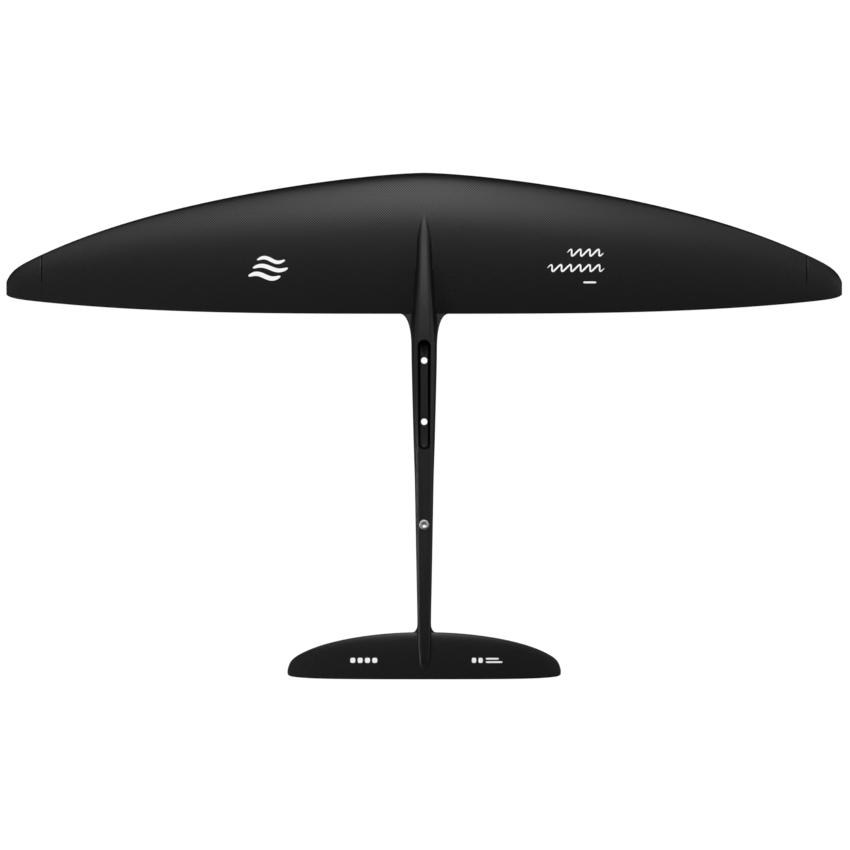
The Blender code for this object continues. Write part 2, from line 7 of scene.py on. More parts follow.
import bmesh
import bpy
import numpy as np
from mathutils import Euler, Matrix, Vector

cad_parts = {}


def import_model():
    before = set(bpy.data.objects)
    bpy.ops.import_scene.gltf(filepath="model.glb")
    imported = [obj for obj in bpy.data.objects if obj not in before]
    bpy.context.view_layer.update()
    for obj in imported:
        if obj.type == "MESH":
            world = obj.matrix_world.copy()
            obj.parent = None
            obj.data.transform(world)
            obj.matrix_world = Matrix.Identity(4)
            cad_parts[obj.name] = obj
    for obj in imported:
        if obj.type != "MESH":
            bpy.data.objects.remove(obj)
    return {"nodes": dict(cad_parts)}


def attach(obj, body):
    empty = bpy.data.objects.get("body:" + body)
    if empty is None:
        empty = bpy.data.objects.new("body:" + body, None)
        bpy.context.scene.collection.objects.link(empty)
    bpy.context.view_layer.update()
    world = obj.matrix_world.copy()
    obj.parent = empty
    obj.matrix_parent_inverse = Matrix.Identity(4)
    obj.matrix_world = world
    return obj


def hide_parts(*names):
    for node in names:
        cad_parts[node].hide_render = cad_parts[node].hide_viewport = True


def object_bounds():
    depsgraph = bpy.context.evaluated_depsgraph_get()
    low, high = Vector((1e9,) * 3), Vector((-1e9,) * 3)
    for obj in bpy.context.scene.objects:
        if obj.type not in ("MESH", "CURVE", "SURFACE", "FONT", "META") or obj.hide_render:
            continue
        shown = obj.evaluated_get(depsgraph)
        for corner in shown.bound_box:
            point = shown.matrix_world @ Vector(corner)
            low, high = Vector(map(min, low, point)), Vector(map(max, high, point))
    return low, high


MM = 0.001

# Front wing, stabiliser and fuselage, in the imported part's frame
HALF_SPAN = 571.0
NOSE_Y = 298.2
TRAILING_Y = 105.5
WING_DROOP = 24.5
WING_CAMBER = 0.025
TIP_JOINT = 522.0
TIP_START = 0.97  # share of the half span where a tip begins to thin out
STAB_HALF_SPAN = 186.8
STAB_NOSE_Y = -329.0
STAB_TRAILING_Y = -393.6
STAB_DROOP = 16.0
STAB_CAMBER = -0.012
CAMBER_PEAK = 0.4  # share of the chord
SECTION = (0.2969, -0.1260, -0.3516, 0.2843, -0.1036)  # usual four-digit thickness formula
ROOT_FILLET_X = 33.0
ROOT_FILLET_Y = 59.0
STAB_FILLET_X = 15.4
STAB_FILLET_Y = -318.6
MIDDLE_Y = -200.0  # in front of it the front wing's formulas hold, behind it the stabiliser's
BEVEL_SHARE = 0.6  # share of the fuselage's flank that is its bevel
BEVEL_DROP = 0.105  # share of the height that the bevel falls
LEAST_FLANK = 0.3
CROWN_START = 45.0  # the bevelled top turns into a round one from here
CROWN_END = 115.0  # to here
CROWN_POWER = 4.0  # 2 would be an ellipse; a higher power is squarer
SEAM_Y = -203.0

# Skins
EDGE = 0.55  # half thickness along the outline, and the reach of its rounding
RIM = 0.1  # half thickness right at the outline
PARTING = 0.03  # least distance of an inside face from the parting surface
FAR = 99.0  # stands for the distance to an edge that isn't there
OUTLINE_SLACK = 0.01
SEAM_GAP = 0.08  # half width of the tip joints where they are tight
TAIL_GAP = 0.02  # half width of the tail's seam
JOINT_OPENING = 1.5  # extra width of the tip joints where they are open
BEAD_SINK = 0.35
BEAD_SLACK = 0.02
FRONT_SKIN = 1.6
TAIL_SKIN = 1.0
SOLID_NOSE = 0.03  # shares of the chord where a moulding closes up to a solid edge
SOLID_TAIL = 0.12
SOLID_WALL = 3.0
WEAVE_CELL = 1.75  # width of a tow
WEAVE_REACH = 90.0  # the cloth drapes over the fuselage out to this distance
DRAPE = 0.6  # cloth used up by each unit of drop beside the fuselage
TOW_SHARE = 0.45  # height a tow keeps where it dips under its neighbours
FIBRE_SCALE = 700

# Mast pocket and bolts
POCKET_LENGTH = 149.3
POCKET_Y = -5.25
POCKET_MOUTH = 16.7
POCKET_FLOOR = 10.9
POCKET_TOP = 19.0  # height where the mouth has that width
LAND_LOW = 10.0  # the wall meets the surface between these heights
LAND_HIGH = 25.0
FOOT = 0.9  # radius where the wall meets the floor: sides, front end, rear end
FRONT_FOOT = 7.6
REAR_FOOT = 1.9
BOLT_Y = 41.8
BOLT_BORE = 8.7
SEAT_FLANGE = 19.0
SEAT_SLEEVE = 12.0
SEAT_FACE = -8.5
SEAT_THICK = 2.0
SEAT_END = -2.5
SEAT_ROOM = 0.15  # clearance round a seat

# Clamp screw
SCREW_Y = -182.3
SCREW_STEPS = 72
SCREW_RADIUS = 4.0
SCREW_END = -9.0
THREAD_TOP = 3.0
THREAD_DEPTH = 0.65
PITCH = 1.25
HEAD_RADIUS = 6.8
HEAD_TOP = 12.4
HEAD_UNDER = 8.4
LOBE_MEAN = 3.55
LOBE_SWING = 0.42
RECESS_RADIUS = 7.2
WASHER_RADIUS = 6.9
WASHER_UNDER = 7.4
NUT_RADIUS = 6.0
NUT_TOP = -4.6
NUT_BOTTOM = -9.6


# ---------------------------------------------------------------- shape of the mouldings


def curve(value, knots):
    """Monotone cubic through knots of (position, value), level beyond the first and last."""
    x, y = np.array(knots, float).T
    value = np.clip(np.asarray(value, float), x[0], x[-1])
    step = np.diff(x)
    slope = np.diff(y) / step
    tangent = np.zeros_like(y)
    tangent[0], tangent[-1] = slope[0], slope[-1]
    same = slope[:-1] * slope[1:] > 0
    mean = 2 * slope[:-1] * slope[1:] / np.where(same, slope[:-1] + slope[1:], 1)
    tangent[1:-1] = np.where(same, mean, 0)
    cell = np.clip(np.searchsorted(x, value) - 1, 0, len(step) - 1)
    t = (value - x[cell]) / step[cell]
    rise = y[cell] * (1 + 2 * t) * (1 - t) ** 2 + y[cell + 1] * t**2 * (3 - 2 * t)
    lean = tangent[cell] * t * (1 - t) ** 2 - tangent[cell + 1] * t**2 * (1 - t)
    return rise + step[cell] * lean


def smooth(value, start, end):
    """Smooth step from 0 at the start to 1 at the end."""
    t = np.clip((np.asarray(value, float) - start) / (end - start), 0, 1)
    return t * t * (3 - 2 * t)


def wing_edges(x):
    """Leading and trailing edge of the front wing at a distance from the centre."""
    s = np.clip(np.abs(x) / HALF_SPAN, 0, 1)
    sweep = 32.6 * s**5 + 103.6 * s**1.5 + 13.0 * (1 - (1 - s**80) ** 0.91)
    rise = 21.7 * s**3.27 + 4.9 * (1 - (1 - s**65) ** 0.675)
    return NOSE_Y - sweep, TRAILING_Y + rise


def stab_edges(x):
    """Leading and trailing edge of the stabiliser."""
    s = np.clip(np.abs(x) / STAB_HALF_SPAN, 0, 1)
    sweep = 9.9 * s**8 + 31.3 * s**2.14 + 10.9 * s**65
    rise = 3.4 * s**8 + 0.84 * s**2.17 + 3.4 * (1 - (1 - s**80) ** 0.71)
    return STAB_NOSE_Y - sweep, STAB_TRAILING_Y + rise


# Tables of (y, value) from the tail forwards: height of the keel; half width of the fuselage;
# heights of its crest and belly over the keel, and half widths of their flats; and the reach of
# the rounding where it meets a wing.
KEEL = ((-393, -6.5), (-329, -5.5), (-203, -1.5), (-80, 1), (106, 2), (300, 2))
HALF_WIDTH = (
    (-394, 1.5), (-380.5, 1.6), (-378, 4.0), (-374, 6.0), (-367, 7.4), (-353.5, 8.5),
    (-340, 9.6), (-329, 9.9), (-321, 9.4), (-256, 10.5), (-190, 11.7), (-125, 12.9),
    (-60, 14.8), (6, 16.5), (62, 17.5), (88, 16.8), (106, 15.8), (124, 14.5), (138, 13.2),
    (160, 11.9), (179, 10.8), (200, 9.8), (213, 8.9), (221, 7.8), (227, 6.3), (232, 4.8),
    (240, 4.5), (300, 4.5),
)
CREST = (
    (-394, -4), (-381, 0), (-378, 2.4), (-370, 5.4), (-353, 7.8), (-329, 9.5),
    (-260, 12), (-182, 13.8), (-80, 17.0), (-5, 20.0), (62, 22.6), (90, 23.3),
    (110, 23.4), (130, 23.1), (155, 22.2), (180, 20.9), (206, 19.1), (222, 17.9),
    (229, 17.2), (233.5, 15.7), (240, 14.8), (255, 14), (270, 11.5), (285, 6), (300, -4),
)
FLAT = (
    (-394, 0.6), (-380, 0.8), (-375, 3.4), (-368, 4.6), (-353, 5.4), (-329, 5.9), (-285, 6.6),
    (-128, 8.1), (-80, 8.5), (70, 8.6), (106, 7.5), (138, 6.5), (179, 4.5),
    (206, 2.75), (235, 0.9), (300, 0.9),
)
BELLY = (
    (-394, -4), (-381, 0), (-370, 3.4), (-353, 5.6), (-329, 7.5), (-203, 11.5),
    (-80, 14), (106, 15), (140, 14.4), (180, 12.4), (225, 9.8), (245, 8.6),
    (262, 7.2), (280, 4), (300, -4),
)
BELLY_FLAT = (
    (-394, 0.6), (-370, 2.6), (-329, 4.6), (-203, 6.4), (-90, 9.4), (-60, 9.9),
    (106, 9.9), (180, 5), (240, 1.2), (300, 0.9),
)
BLEND = (
    (-394, 1.2), (-345, 1.2), (-310, 0.4), (50, 0.4), (60, 2), (106, 9), (180, 6),
    (205, 5.4), (220, 4.4), (234, 3.2), (250, 1.5), (300, 0.6),
)


def side(y):
    """Outer half width of the fuselage in plan, with the fillets at both wings."""
    wide = curve(y, HALF_WIDTH)
    t = np.clip((y - ROOT_FILLET_Y) / (TRAILING_Y - ROOT_FILLET_Y), 0, 1)
    q = np.clip((STAB_FILLET_Y - y) / (STAB_FILLET_Y - STAB_NOSE_Y), 0, 1)
    front = (ROOT_FILLET_X - wide) * (1 - np.sqrt(1 - t**2))
    rear = (STAB_FILLET_X - wide) * (1 - np.sqrt(1 - q**2))
    return wide + np.where(y > 0, front, rear)


def keel(x, y):
    """Height of the surface where the upper and lower mouldings meet."""
    wing = WING_DROOP * (np.abs(x) / HALF_SPAN) ** 2.2
    stab = STAB_DROOP * (np.abs(x) / STAB_HALF_SPAN) ** 2.4
    return curve(y, KEEL) - np.where(y > MIDDLE_Y, wing, stab)


def edges_at(x, y):
    """Leading and trailing edge of whichever wing a place belongs to."""
    front = y > MIDDLE_Y
    lead, trail = wing_edges(x)
    stab_lead, stab_trail = stab_edges(x)
    return np.where(front, lead, stab_lead), np.where(front, trail, stab_trail)


def lip(x, y):
    """Height of the moulding's rounded edge, from the distance to its outline in plan."""
    front = y > MIDDLE_Y
    ax = np.abs(x)
    lead, trail = edges_at(x, y)
    far = np.full(np.shape(x), FAR)
    beside_wing = np.where(ax > ROOT_FILLET_X - OUTLINE_SLACK, y - trail, side(y) - ax)
    wing = np.minimum(np.where(y > TRAILING_Y - OUTLINE_SLACK, lead - y, far), beside_wing)
    before_stab = np.where(ax > STAB_FILLET_X - OUTLINE_SLACK, lead - y, side(y) - ax)
    inner = np.where(y > STAB_NOSE_Y, before_stab, np.where(ax > STAB_FILLET_X, lead - y, far))
    stab = np.minimum(inner, y - trail)
    distance = np.where(front, wing, np.where(y > STAB_FILLET_Y, side(y) - ax, stab))
    t = 1 - np.clip(distance / EDGE, 0, 1)
    return RIM + (EDGE - RIM) * np.sqrt(1 - t**2)


def foil(x, y):
    """Upper and lower height of wing or stabiliser over the keel surface."""
    front = y > MIDDLE_Y
    lead, trail = edges_at(x, y)
    s = np.clip(np.abs(x) / np.where(front, HALF_SPAN, STAB_HALF_SPAN), 0, 1)
    c = np.clip((lead - y) / (lead - trail), 0, 1)
    thick = np.where(front, 0.120 - 0.035 * s**1.5, 0.095 - 0.010 * s)
    nose, *rest = SECTION
    poly = nose * np.sqrt(c) + sum(k * c ** (i + 1) for i, k in enumerate(rest))
    half = 5 * thick * poly
    ahead = (2 * CAMBER_PEAK * c - c**2) / CAMBER_PEAK**2
    behind = (1 - 2 * CAMBER_PEAK + 2 * CAMBER_PEAK * c - c**2) / (1 - CAMBER_PEAK) ** 2
    camber = np.where(front, WING_CAMBER, STAB_CAMBER) * np.where(c < CAMBER_PEAK, ahead, behind)
    tip = np.sqrt(1 - 0.75 * np.clip((s - TIP_START) / (1 - TIP_START), 0, 1) ** 2)
    chord = (lead - trail) * tip
    within = np.where(front, y >= TRAILING_Y, y <= STAB_NOSE_Y)
    chord = np.where(within, chord, 0)
    edge = lip(x, y)
    return edge + chord * (half + camber), edge + chord * (half - camber)


def hump(x, half_width, flat, height, crown=0.0):
    """Fuselage cross-section: a bevelled flat or, by its crown share, a round top."""
    v = np.clip((np.abs(x) - flat) / (half_width - flat), 0, None)
    flank = np.clip((v - BEVEL_SHARE) / (1 - BEVEL_SHARE), 0, 1)
    bevel = BEVEL_DROP * np.clip(v / BEVEL_SHARE, 0, 1)
    bevelled = 1 - bevel - (1 - BEVEL_DROP) * (1 - np.sqrt(1 - flank**2))
    u = np.clip(np.abs(x) / half_width, 0, 1)
    rounded = (1 - u**CROWN_POWER) ** (1 / CROWN_POWER)
    within = bevelled + crown * (rounded - bevelled)
    drop = 1 - within + 2 * np.clip(v - 1, 0, None)
    return height - drop * np.maximum(height, 4)


def soft_max(a, b, reach):
    """Larger of two heights with the corner between them rounded over a reach."""
    h = np.clip(reach - np.abs(a - b), 0, None) / reach
    return np.maximum(a, b) + h**2 * reach / 4


def surface(x, y, sign, inset=0.0, edge=0.0):
    """Height of the top (+1) or bottom (-1) surface, or of its offset towards the inside."""
    wide = curve(y, HALF_WIDTH) - inset
    flat = np.minimum(curve(y, FLAT if sign > 0 else BELLY_FLAT), wide - LEAST_FLANK)
    height = curve(y, CREST if sign > 0 else BELLY) - inset
    crown = smooth(y, CROWN_START, CROWN_END) if sign > 0 else 0.0
    body = hump(x, wide, flat, height, crown)
    wing = foil(x, y)[0 if sign > 0 else 1] - inset - edge
    return keel(x, y) + sign * soft_max(wing, body, curve(y, BLEND))


# ---------------------------------------------------------------- fine rows of points

# Shares from the flat top to the outline: even over the bevel, then closing up on the flank
ACROSS = np.linspace(0, 1, 33)[1:]
ON_BEVEL = 0.35
CLOSING = 1 - (1 - BEVEL_SHARE) * ((1 - ACROSS) / (1 - ON_BEVEL)) ** 2
FLANK = np.where(ACROSS < ON_BEVEL, ACROSS / ON_BEVEL * BEVEL_SHARE, CLOSING)
MIDDLE = np.linspace(0, 1, 7)[1:]
# Share of a plan fillet's extra width that each of those points takes
REACH = np.clip((ACROSS - 0.45) / 0.55, 0, 1) ** 1.5
WING_STEP = 8.5
STAB_STEP = 3.2


def mirrored(values):
    """Values on both sides of a middle zero."""
    values = np.asarray(values, float)
    return np.concatenate([-values[::-1], [0.0], values])


def body_line(y, outboard=()):
    """One row of points across the fuselage; the third value draws it in for the inside face."""
    wide, outer = curve(y, HALF_WIDTH), side(y)
    flat = np.minimum(curve(y, FLAT), wide - LEAST_FLANK)
    flank = flat + FLANK * (wide - flat) + REACH * (outer - wide)
    x = np.concatenate([flat * MIDDLE, flank, outboard])
    pull = FLANK * (1 - REACH) * np.clip(0.3 * (wide - flat), 0, 1)
    pull = np.concatenate([0 * MIDDLE, pull, np.zeros(len(outboard))])
    across = mirrored(x)
    return np.column_stack([across, np.full(len(across), float(y)), mirrored(pull)])


def chord_shares(count):
    """Shares of a chord, close together at the leading edge and at the very end."""
    t = np.linspace(0, 1, count)
    shares = np.where(t < 0.5, t**2, t - 0.25) / 0.75
    return np.concatenate([shares[:-1], [0.992, 0.997, 0.9985, 1.0]])


def foil_rows(edges, shares, outboard):
    """Rows of points over a wing, from its leading edge to its trailing edge."""
    front, back = edges(0.0)
    rows = []
    for c in shares:
        row = body_line(front + c * (back - front), outboard)
        lead, trail = edges(row[:, 0])
        row[:, 1] = lead + c * (trail - lead)
        rows.append(row)
    return rows


def outboard_lines(start, end, step):
    """Distances from the centre outside the fuselage, with a step that grows outwards."""
    count = int(round((end - start) / step))
    t = np.linspace(0, 1, count + 1)[1:]
    return start + (end - start) * (0.7 * t + 0.3 * t**2)


def solid_edge(x, y):
    """Extra wall at the leading and trailing edges, where a moulding is solid."""
    lead, trail = wing_edges(x) if y.min() > MIDDLE_Y else stab_edges(x)
    c = (lead - y) / (lead - trail)
    nose = np.clip(1 - c / SOLID_NOSE, 0, 1)
    tail = np.clip((c - (1 - SOLID_TAIL)) / SOLID_TAIL, 0, 1)
    return np.where((c >= 0) & (c <= 1), SOLID_WALL * (nose + tail), 0)


def shell_faces(rows, skin, sign):
    """Outside and inside face of a half shell over rows of plan points."""
    outside, inside = [], []
    for x, y, pull in (r.T for r in rows):
        outside.append(np.column_stack([x, y, surface(x, y, sign)]))
        x = x - skin * pull
        z = sign * surface(x, y, sign, skin, solid_edge(x, y))
        inside.append(np.column_stack([x, y, sign * np.maximum(z, sign * keel(x, y) + PARTING)]))
    return outside, inside


# ---------------------------------------------------------------- meshes


def piece(name, mesh, material, body, replaced=()):
    """Adds one piece, riding on its body and standing for the CAD nodes it replaces."""
    mesh.materials.append(material)
    thing = bpy.data.objects.new(name, mesh)
    bpy.context.scene.collection.objects.link(thing)
    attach(thing, body)
    if replaced:
        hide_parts(*replaced)


def to_mesh(name, points, faces):
    """Mesh in metres from points in millimetres, with outward normals."""
    mesh = bpy.data.meshes.new(name)
    mesh.from_pydata([Vector(p) * MM for p in points], [], faces)
    work = bmesh.new()
    work.from_mesh(mesh)
    bmesh.ops.recalc_face_normals(work, faces=work.faces)
    work.to_mesh(mesh)
    work.free()
    return mesh


def crisp(mesh, degrees=30):
    """Smooth shading with sharp edges over an angle."""
    mesh.shade_smooth()
    mesh.set_sharp_from_angle(angle=np.radians(degrees))


def loft(name, top, bottom):
    """Closed mesh between two faces given as rows of points.

    A row may be longer than its neighbour: the middle points of both then share faces.
    """
    sizes = [len(row) for row in top]
    starts = np.concatenate([[0], np.cumsum(sizes)])
    total = int(starts[-1])
    faces = []
    for i, (here, there) in enumerate(zip(sizes[:-1], sizes[1:])):
        skip = (here - there) // 2
        a, b = starts[i] + max(0, skip), starts[i + 1] + max(0, -skip)
        for j in range(min(here, there) - 1):
            faces.append((int(a + j), int(a + j + 1), int(b + j + 1), int(b + j)))
    count = {}
    for face in faces:
        for a, b in zip(face, face[1:] + face[:1]):
            count[frozenset((a, b))] = count.get(frozenset((a, b)), 0) + 1
    rim = [edge for edge, uses in count.items() if uses == 1]
    faces += [tuple(total + v for v in reversed(face)) for face in faces]
    faces += [(a, b, total + b, total + a) for a, b in (tuple(edge) for edge in rim)]
    points = np.concatenate([np.concatenate(top), np.concatenate(bottom)])
    return to_mesh(name, points, faces)


def ring_loft(name, rings, capped=True):
    """Closed mesh through rings with the same number of points."""
    size = len(rings[0])
    faces = []
    for i in range(len(rings) - 1):
        for j in range(size):
            k = (j + 1) % size
            faces.append((i * size + j, i * size + k, (i + 1) * size + k, (i + 1) * size + j))
    if capped:
        faces.append(tuple(range(size)))
        faces.append(tuple(range((len(rings) - 1) * size, len(rings) * size)))
    return to_mesh(name, np.concatenate(rings), faces)


def circle(radius, y, z, steps=96):
    """Ring of points round an upright axis; the radius may change with the angle."""
    angle = np.arange(steps) * 2 * np.pi / steps
    height = np.full(steps, float(z))
    return np.column_stack([radius * np.cos(angle), y + radius * np.sin(angle), height])


def turned(name, profile, y, closed=True):
    """Body of revolution round an upright axis, from a profile of (radius, height)."""
    rings = [circle(r, y, z) for r, z in profile]
    if closed:
        rings.append(rings[0])
    mesh = ring_loft(name, rings, capped=not closed)
    work = bmesh.new()
    work.from_mesh(mesh)
    bmesh.ops.remove_doubles(work, verts=work.verts, dist=0.00001)
    work.to_mesh(mesh)
    work.free()
    return mesh


def cut(mesh, cutters):
    """Mesh after exact Booleans that take away the cutters, given as meshes."""
    holder = bpy.data.objects.new("holder", mesh)
    bpy.context.scene.collection.objects.link(holder)
    tools = []
    for cutter in cutters:
        tool = bpy.data.objects.new("tool", cutter)
        bpy.context.scene.collection.objects.link(tool)
        mod = holder.modifiers.new("cut", "BOOLEAN")
        mod.operation, mod.solver, mod.object = "DIFFERENCE", "EXACT", tool
        tools.append(tool)
    depsgraph = bpy.context.evaluated_depsgraph_get()
    result = bpy.data.meshes.new_from_object(holder.evaluated_get(depsgraph))
    for thing in [holder] + tools:
        bpy.data.objects.remove(thing)
    result.name = mesh.name
    return result


def weave_map(mesh):
    """UV layer in metres along the cloth: across the span, with the fuselage's flanks unrolled."""
    layer = mesh.uv_layers.new(name="weave")
    corner = np.zeros(len(mesh.loops), np.int32)
    mesh.loops.foreach_get("vertex_index", corner)
    co = np.zeros(len(mesh.vertices) * 3)
    mesh.vertices.foreach_get("co", co)
    x, y, z = co.reshape(-1, 3).T / MM
    drop = np.abs(z - keel(x, y) - np.sign(z - keel(x, y)) * curve(y, CREST))
    near = 1 - smooth(np.abs(x), curve(y, HALF_WIDTH), WEAVE_REACH)
    u = x + np.sign(x) * DRAPE * drop * near
    uv = np.column_stack([u, y])[corner] * MM
    layer.data.foreach_set("uv", uv.astype(np.float32).ravel())


# ---------------------------------------------------------------- materials

# Places of the colour sockets on a Mix node
COLOUR_A, COLOUR_B, MIXED_COLOUR = 6, 7, 2


def wire(tree, kind, inputs, **settings):
    """Adds a shader node. An input is a plain value or another node's output."""
    node = tree.nodes.new(kind)
    for name, value in settings.items():
        setattr(node, name, value)
    for name, value in inputs.items():
        socket = node.inputs[name]
        if isinstance(value, bpy.types.NodeSocket):
            tree.links.new(value, socket)
        else:
            socket.default_value = value
    return node.outputs


def math(tree, operation, a, b=0.0):
    """Math node on two numbers or sockets."""
    return wire(tree, "ShaderNodeMath", {0: a, 1: b}, operation=operation)[0]


def times(tree, vector, factors):
    """Vector multiplied by factors, which are numbers or another vector."""
    inputs = {0: vector, 1: factors}
    return wire(tree, "ShaderNodeVectorMath", inputs, operation="MULTIPLY")[0]


def either(tree, share, one, other):
    """One value where the share is 1 and the other where it is 0."""
    rest = math(tree, "SUBTRACT", 1.0, share)
    return math(tree, "ADD", math(tree, "MULTIPLY", one, share), math(tree, "MULTIPLY", other, rest))


def blend(tree, share, low, high):
    """Number between two values by a share from 0 to 1."""
    inputs = {0: share, 1: 0.0, 2: 1.0, 3: low, 4: high}
    return wire(tree, "ShaderNodeMapRange", inputs)[0]


def tint(tree, share, low, high):
    """Colour between two colours by a share from 0 to 1."""
    inputs = {0: share, COLOUR_A: (*low, 1), COLOUR_B: (*high, 1)}
    return wire(tree, "ShaderNodeMix", inputs, data_type="RGBA")[MIXED_COLOUR]


def noise(tree, vector, scale, detail=2.0):
    """Noise value from 0 to 1 at a scale in repeats per metre."""
    inputs = {"Vector": vector, "Scale": scale, "Detail": detail}
    return wire(tree, "ShaderNodeTexNoise", inputs)["Fac"]


def rest_place(tree):
    """Place on the piece in metres, which stays with it when it moves."""
    return wire(tree, "ShaderNodeTexCoord", {})["Object"]


def new_material(name, **values):
    """Material with a Principled shader and its plain values set."""
    mat = bpy.data.materials.new(name)
    mat.use_nodes = True
    shader = mat.node_tree.nodes["Principled BSDF"]
    for key, value in values.items():
        shader.inputs[key.replace("_", " ")].default_value = value
    return mat, mat.node_tree, shader


def join(tree, shader, **sockets):
    """Links outputs to the Principled shader's inputs."""
    for key, socket in sockets.items():
        tree.links.new(socket, shader.inputs[key.replace("_", " ")])


def bump(tree, height, distance, strength=1.0):
    """Bumped normal from a height socket; the distance is in millimetres."""
    inputs = {"Height": height, "Distance": distance * MM, "Strength": strength}
    return wire(tree, "ShaderNodeBump", inputs)[0]


def woven_carbon(name, roughness, dark, light, shine=1.0, relief=1.0):
    """Plain-weave carbon under a satin coat: rounded tows, fibre grain and slow gloss changes."""
    values = {"Metallic": 0.0, "IOR": 1.5, "Coat_Weight": 0.1, "Coat_Roughness": 0.3}
    mat, tree, shader = new_material(name, **values)
    uv = wire(tree, "ShaderNodeUVMap", {}, uv_map="weave")["UV"]
    scale = 1 / (WEAVE_CELL * MM)
    cells = times(tree, uv, (scale, scale, 0))
    part = wire(tree, "ShaderNodeVectorMath", {0: cells}, operation="FRACTION")[0]
    doubled = {0: part, 1: (2, 2, 0), 2: (-1, -1, 0)}
    swing = wire(tree, "ShaderNodeVectorMath", doubled, operation="MULTIPLY_ADD")[0]
    split = wire(tree, "ShaderNodeSeparateXYZ", {0: times(tree, swing, swing)})
    round_x = math(tree, "SUBTRACT", 1.0, split["X"])
    round_y = math(tree, "SUBTRACT", 1.0, split["Y"])
    which = wire(tree, "ShaderNodeTexChecker", {"Vector": cells, "Scale": 1.0})["Fac"]
    warp = math(tree, "MULTIPLY", round_x, math(tree, "ADD", TOW_SHARE, round_y))
    weft = math(tree, "MULTIPLY", round_y, math(tree, "ADD", TOW_SHARE, round_x))
    tow = either(tree, which, warp, weft)
    along_warp = noise(tree, times(tree, uv, (9, 0.8, 1)), FIBRE_SCALE)
    along_weft = noise(tree, times(tree, uv, (0.8, 9, 1)), FIBRE_SCALE)
    fibre = either(tree, which, along_warp, along_weft)
    height = math(tree, "ADD", tow, math(tree, "MULTIPLY", fibre, 0.35))
    slow = noise(tree, rest_place(tree), 14, 3)
    # The lighter and darker tows in the base colour are partly the weave's own tone and partly a painted
    # sheen of the tows.
    weave_tone_and_sheen = math(tree, "ADD", math(tree, "MULTIPLY", which, 0.6), math(tree, "MULTIPLY", fibre, 0.4))
    gloss = math(tree, "ADD", math(tree, "MULTIPLY", which, 0.03), math(tree, "MULTIPLY", slow, 0.03))
    join(
        tree, shader,
        Base_Color=tint(tree, weave_tone_and_sheen, (dark, dark, dark), (light, light, light)),
        Roughness=math(tree, "ADD", roughness - 0.04, gloss),
        Specular_IOR_Level=blend(tree, which, 0.1 * shine, 0.4 * shine),
        Normal=bump(tree, height, 0.03, 0.45 * relief),
    )
    return mat


def moulded(name, colour, roughness, grain, shine=0.35):
    """Moulded laminate or plastic: fine grain, slight mottling."""
    mat, tree, shader = new_material(name, Metallic=0.0, Specular_IOR_Level=shine)
    place = rest_place(tree)
    fine, broad = noise(tree, place, grain, 3), noise(tree, place, 60, 2)
    darker = [0.6 * c for c in colour]
    join(
        tree, shader,
        Base_Color=tint(tree, broad, darker, colour),
        Roughness=blend(tree, broad, roughness - 0.05, roughness + 0.08),
        Normal=bump(tree, fine, 0.03, 0.4),
    )
    return mat


def foam(name):
    """Closed-cell foam, cream, with its cells showing as fine pits."""
    mat, tree, shader = new_material(name, Metallic=0.0, Roughness=0.9)
    inputs = {"Vector": rest_place(tree), "Scale": 1400.0}
    cells = wire(tree, "ShaderNodeTexVoronoi", inputs)["Distance"]
    colour = tint(tree, cells, (0.55, 0.5, 0.36), (0.82, 0.77, 0.6))
    join(tree, shader, Base_Color=colour, Normal=bump(tree, cells, 0.15, 0.6))
    return mat


def turned_steel(name, roughness):
    """Bright steel with fine rings from turning."""
    mat, tree, shader = new_material(name, Metallic=1.0, Anisotropic=0.3)
    place = rest_place(tree)
    centred = wire(tree, "ShaderNodeVectorMath", {0: place, 1: (0, -SCREW_Y * MM, 0)})[0]
    split = wire(tree, "ShaderNodeSeparateXYZ", {0: centred})
    squares = [math(tree, "MULTIPLY", split[i], split[i]) for i in range(2)]
    radius = math(tree, "SQRT", math(tree, "ADD", *squares))
    ring_place = wire(tree, "ShaderNodeCombineXYZ", {0: radius, 2: split[2]})[0]
    rings = noise(tree, ring_place, 5200, 1)
    stain = noise(tree, place, 420, 3)
    join(
        tree, shader,
        Base_Color=tint(tree, stain, (0.44, 0.44, 0.44), (0.62, 0.62, 0.61)),
        Roughness=blend(tree, rings, roughness - 0.05, roughness + 0.09),
        Normal=bump(tree, rings, 0.004, 0.5),
    )
    return mat


def anodised(name):
    """Hard-anodised alloy, dark grey with a fine drawn grain along its length."""
    mat, tree, shader = new_material(name, Metallic=0.85)
    drawn = times(tree, rest_place(tree), (30, 0.7, 30))
    grain = noise(tree, drawn, 120, 2)
    join(
        tree, shader,
        Base_Color=tint(tree, grain, (0.05, 0.05, 0.055), (0.1, 0.1, 0.11)),
        Roughness=blend(tree, grain, 0.34, 0.5),
        Normal=bump(tree, grain, 0.01, 0.4),
    )
    return mat


def print_ink(name):
    """White printed ink with a slightly uneven film."""
    mat, tree, shader = new_material(name, Metallic=0.0)
    film = noise(tree, rest_place(tree), 900, 3)
    join(
        tree, shader,
        Base_Color=tint(tree, film, (0.86, 0.86, 0.86), (0.95, 0.95, 0.95)),
        Roughness=blend(tree, film, 0.4, 0.55),
        Normal=bump(tree, film, 0.01, 0.3),
    )
    return mat


# ---------------------------------------------------------------- mouldings


def fillet_rows(start, end, count):
    """Stations of a plan fillet, close together where it meets the wing."""
    swing = np.sin(np.linspace(0.5 * np.pi, 0, count))
    return [start + (end - start) * t for t in swing]


